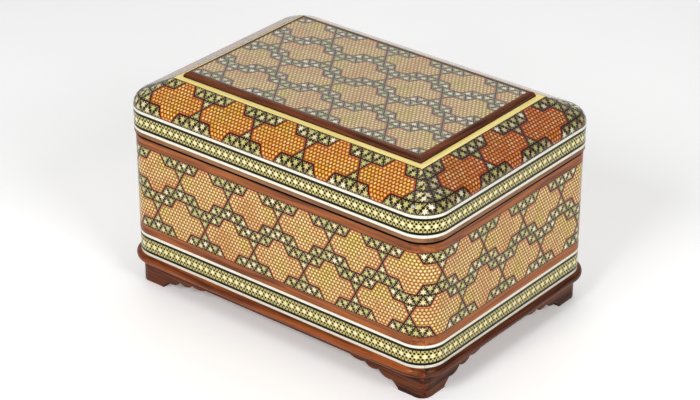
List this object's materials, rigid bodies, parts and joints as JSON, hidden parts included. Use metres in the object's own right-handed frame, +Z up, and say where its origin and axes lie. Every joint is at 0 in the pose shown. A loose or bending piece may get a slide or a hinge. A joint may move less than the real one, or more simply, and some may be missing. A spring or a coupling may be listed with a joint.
{
  "type": "decorative casket",
  "caption": "Rectangular wooden casket veneered in star inlay, with a hinged hipped lid, raised top panel, moulded plinth and scalloped bracket feet; lined for small keepsakes.",
  "frame": {"origin": "middle of the footprint, on the plane of the feet's soles", "axes": "+Z up, +X along the long side, front towards -Y, hinges at +Y"},
  "size_m": [0.2152, 0.1532, 0.1273],
  "materials": {
    "star_inlay": "clear lacquer over wood, bone and metal star inlay",
    "bone": "polished, lacquered",
    "ebony": "lacquered black",
    "strip_wood": "lacquered",
    "pale_wood": "lacquered",
    "dark_rosewood": "lacquered",
    "stained_wood": "lacquered",
    "carcass_wood": "plain",
    "velvet": "short pile",
    "brass": "polished"
  },
  "bodies": {
    "box_body": {"back_inlay": "star_inlay", "back_wall": "carcass_wood", "base_border_inlay": "star_inlay", "base_lower_bone_line": "bone", "base_lower_ebony_line": "ebony", "base_upper_bone_line": "bone", "base_upper_ebony_line": "ebony", "case_lower_strip": "strip_wood", "case_rim_strip": "strip_wood", "floor_board": "carcass_wood", "front_inlay": "star_inlay", "front_wall": "carcass_wood", "hinge_case_leaves": "brass", "hinge_case_screws": "brass", "hinge_pins": "brass", "left_inlay": "star_inlay", "left_wall": "carcass_wood", "lining_back": "velvet", "lining_floor_pad": "velvet", "lining_front": "velvet", "lining_left": "velvet", "lining_right": "velvet", "plinth_moulding_back": "stained_wood", "plinth_moulding_front": "stained_wood", "plinth_moulding_left": "stained_wood", "plinth_moulding_right": "stained_wood", "right_inlay": "star_inlay", "right_wall": "carcass_wood", "skirt_back": "dark_rosewood", "skirt_front": "dark_rosewood", "skirt_left": "dark_rosewood", "skirt_right": "dark_rosewood"},
    "lid": {"hinge_lid_leaves": "brass", "hinge_lid_screws": "brass", "lid_border_inlay": "star_inlay", "lid_core_board": "carcass_wood", "lid_edge_strip": "strip_wood", "lid_lining_pad": "velvet", "lid_lower_bone_line": "bone", "lid_lower_ebony_line": "ebony", "lid_rail_back": "carcass_wood", "lid_rail_front": "carcass_wood", "lid_rail_left": "carcass_wood", "lid_rail_right": "carcass_wood", "lid_slope_inlay_back": "star_inlay", "lid_slope_inlay_front": "star_inlay", "lid_slope_inlay_left": "star_inlay", "lid_slope_inlay_right": "star_inlay", "lid_strip_back": "pale_wood", "lid_strip_front": "pale_wood", "lid_strip_left": "pale_wood", "lid_strip_right": "pale_wood", "lid_upper_bone_line": "bone", "lid_upper_ebony_line": "ebony", "panel_board": "dark_rosewood", "panel_inlay": "star_inlay", "panel_moulding_back": "dark_rosewood", "panel_moulding_front": "dark_rosewood", "panel_moulding_left": "dark_rosewood", "panel_moulding_right": "dark_rosewood"}
  },
  "joints": [
    {"name": "lid_hinge", "type": "hinge", "parent": "box_body", "child": "lid", "pos_m": [0, 0.07525, 0.09365], "axis": [-1, 0, 0], "range_deg": [0, 100]}
  ]
}
